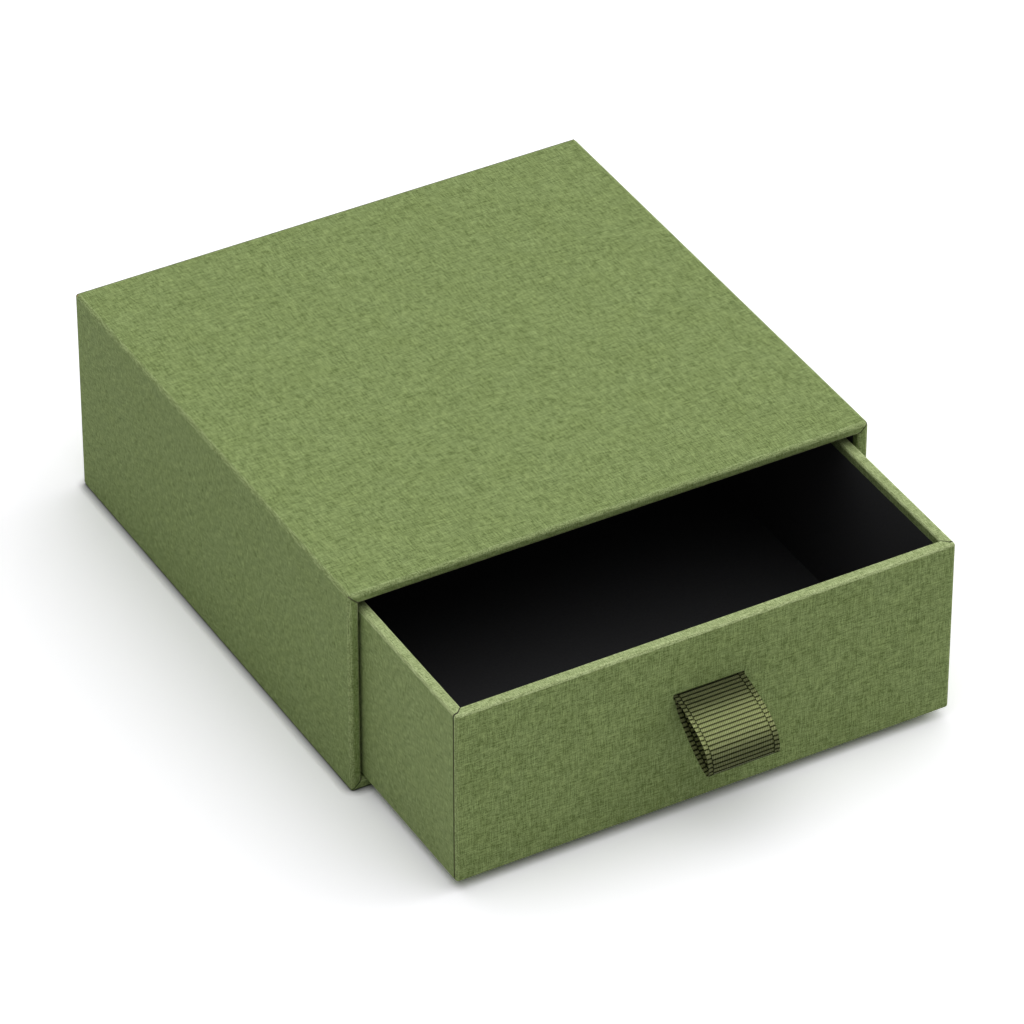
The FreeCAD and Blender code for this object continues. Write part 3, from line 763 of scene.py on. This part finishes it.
def lay_on_line(strip, points):
    """Bend a flat strip, in millimetres, so that its length follows a line of points."""
    reached = [0.0]
    for before, after in zip(points, points[1:]):
        reached.append(reached[-1] + (after - before).length / MM)
    span = 0
    for vert in sorted(strip.verts, key=lambda vert: vert.co.y):
        across, along, thick = vert.co
        while span < len(points) - 2 and reached[span + 1] < along:
            span += 1
        share = (along - reached[span]) / (reached[span + 1] - reached[span])
        ahead = (points[min(span + 2, len(points) - 1)] - points[max(span - 1, 0)]).normalized()
        place = points[span].lerp(points[span + 1], share)
        swing = max(0.0, (slot_centre.y - place.y) / LOOP_REACH)
        vert.co = place + (RIGHT + ASKEW * swing) * across * MM + ahead.cross(RIGHT) * thick * MM


# %% Lay the ribbon on its path
BEND_START, BEND_END = 0.2 * MM, -1.0 * MM


def make_ribbon():
    rows = math.floor(ribbon_length / MM / RIB * ROWS_PER_RIB)
    strip = make_flat_strip(rows)
    lay_on_line(strip, line)
    bmesh.ops.recalc_face_normals(strip, faces=strip.faces[:])
    for face in strip.faces:
        face.smooth = True
    ribbon = finish_piece("ribbon_strip", strip, grosgrain, None,
                          ["ribbon_loop", "ribbon_tails"])
    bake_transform(ribbon, "drawer", "ribbon_loop", start=slot_centre + BACK * BEND_START,
             end=slot_centre + BACK * BEND_END)
    return ribbon


ribbon_strip = make_ribbon()
print("ribbon faces:", len(ribbon_strip.data.polygons))

# %% [markdown]
# ## Studio
# A product shot of this kind stands on a seamless white sweep, under one very large, soft
# light overhead, a weaker one from the right, and weak light from all around. A sun lamp with
# a wide angle gives the same soft shadow everywhere on the floor, and the world fills in.
# The floor adds a little white for the camera, and for rays that come off a gloss or through glass. It stays
# white where it is fully lit, and still takes the shadow. For those rays it also darkens within CONTACT of
# the box, where the two touch. The box's own materials hold no such contact shade. They have painted shade
# in the ribbon's grooves, in the paper's valleys and at the edges of slits, and painted highlights on folded
# edges and rims, on the drawer's side and in the middle of the ribbon's loop.

# %% Floor
FLOOR_SIZE = 6.0
BLEACH = "#b5b4ba"
CONTACT = 2.2 * MM
CONTACT_STRENGTH = 1.4
GRAINS_PER_METRE = 900.0


def sees_white(tree):
    """1 for rays that show the background: to the camera, off a gloss or through glass."""
    paths = add(tree, "LightPath")
    direct = add(tree, "Math", {0: paths.outputs["Is Camera Ray"],
                                1: paths.outputs["Is Glossy Ray"]}, operation="MAXIMUM")
    return add(tree, "Math", {0: direct.outputs[0], 1: paths.outputs["Is Transmission Ray"]},
               operation="MAXIMUM").outputs[0]


def hold_shade(tree, colour, reach, strength):
    """Darken a colour in tight places, where another surface stands within reach."""
    open_sky = add(tree, "AmbientOcclusion", {"Distance": reach})
    share = add(tree, "Math", {0: open_sky.outputs["AO"], 1: strength}, operation="POWER")
    dark = add(tree, "Mix", {0: share.outputs[0], MIX_A: linear("#000000"), MIX_B: colour},
               data_type="RGBA")
    return dark.outputs[MIXED]


def make_floor():
    material, tree, surface = new_material("white_seamless_paper")
    place = add(tree, "TexCoord").outputs["Object"]
    grain = add(tree, "TexNoise", {"Vector": place, "Scale": GRAINS_PER_METRE, "Detail": 2.0})
    white = add(tree, "Mix", {0: grain.outputs["Fac"], MIX_A: linear("#efefef"),
                              MIX_B: linear("#f3f3f3")}, data_type="RGBA")
    paper = add(tree, "BsdfDiffuse", {"Color": white.outputs[MIXED], "Roughness": 0.5})
    shades = []
    for tone in (white.outputs[MIXED], linear(BLEACH)):
        shaded = hold_shade(tree, tone, CONTACT, CONTACT_STRENGTH)
        shades.append(add(tree, "BsdfDiffuse", {"Color": shaded, "Roughness": 0.5}))
    bleached = add(tree, "AddShader", {0: shades[0].outputs[0], 1: shades[1].outputs[0]})
    both = add(tree, "MixShader", {0: sees_white(tree), 1: paper.outputs[0],
                                   2: bleached.outputs[0]})
    tree.links.new(both.outputs[0], surface)

    sweep = bmesh.new()
    bmesh.ops.create_grid(sweep, x_segments=1, y_segments=1, size=FLOOR_SIZE / 2)
    mesh = bpy.data.meshes.new("studio_floor")
    sweep.to_mesh(mesh)
    sweep.free()
    mesh.materials.append(material)
    floor = bpy.data.objects.new("studio_floor", mesh)
    bpy.context.scene.collection.objects.link(floor)


make_floor()

# %% [markdown]
# The world is white where it is seen, directly, in a gloss or through glass, and dimmer as a
# light.

# %% World and lamps
WORLD_LIGHT = 0.20
KEY_POWER = 2.38
KEY_FROM = Vector((0.20, 0.08, 1.0))
KEY_ANGLE = 100.0
RIM_POWER = 0.45
RIM_FROM = Vector((0.9, -0.15, 0.5))
RIM_ANGLE = 30.0


def make_world():
    world = bpy.data.worlds.new("white_studio")
    world.use_nodes = True
    tree = world.node_tree
    tree.nodes.clear()
    lit = add(tree, "Background", {"Color": linear("#ffffff"), "Strength": WORLD_LIGHT})
    white = add(tree, "Background", {"Color": linear("#ffffff"), "Strength": 1.0})
    both = add(tree, "MixShader", {0: sees_white(tree), 1: lit.outputs[0], 2: white.outputs[0]})
    add(tree, "OutputWorld", {"Surface": both.outputs[0]})
    bpy.context.scene.world = world


def make_sun(name, power, source, angle):
    """A sun lamp that shines from a direction, with a wide disc for soft shadows."""
    lamp = bpy.data.lights.new(name, "SUN")
    lamp.energy = power
    lamp.angle = math.radians(angle)
    holder = bpy.data.objects.new(name, lamp)
    holder.rotation_euler = source.to_track_quat("Z", "Y").to_euler()
    bpy.context.scene.collection.objects.link(holder)


make_world()
make_sun("overhead_softbox", KEY_POWER, KEY_FROM, KEY_ANGLE)
make_sun("rim_softbox", RIM_POWER, RIM_FROM, RIM_ANGLE)

# %% [markdown]
# ## Camera
# The camera stands 1.4 m away with a long lens, so the box hardly converges. It looks from the
# left of the drawer's front and from above.

# %% Camera
CAMERA_AZIMUTH = math.radians(-29.39)
CAMERA_ELEVATION = math.radians(36.53)
CAMERA_DISTANCE = 1.388
FOCAL_PIXELS = 6820
IMAGE_SIDE = 1024
SENSOR_MM = 36.0
AIM_RIGHT, AIM_UP = 20.16 * MM, -38.58 * MM
MOUTH_CENTRE = Vector((0, sleeve_low.y, 0))


def make_camera():
    lens = bpy.data.cameras.new("studio_camera")
    lens.sensor_width = SENSOR_MM
    lens.lens = FOCAL_PIXELS * lens.sensor_width / IMAGE_SIDE
    camera = bpy.data.objects.new("studio_camera", lens)
    level = math.cos(CAMERA_ELEVATION)
    right = Vector((math.cos(CAMERA_AZIMUTH), math.sin(CAMERA_AZIMUTH), 0))
    back = Vector((math.sin(CAMERA_AZIMUTH) * level, -math.cos(CAMERA_AZIMUTH) * level,
                   math.sin(CAMERA_ELEVATION)))
    up = back.cross(right)
    camera.matrix_world = Matrix((right, up, back)).transposed().to_4x4()
    camera.location = MOUTH_CENTRE + back * CAMERA_DISTANCE - right * AIM_RIGHT - up * AIM_UP
    bpy.context.scene.collection.objects.link(camera)
    bpy.context.scene.camera = camera


make_camera()

bpy.context.scene.view_settings.view_transform = "Standard"
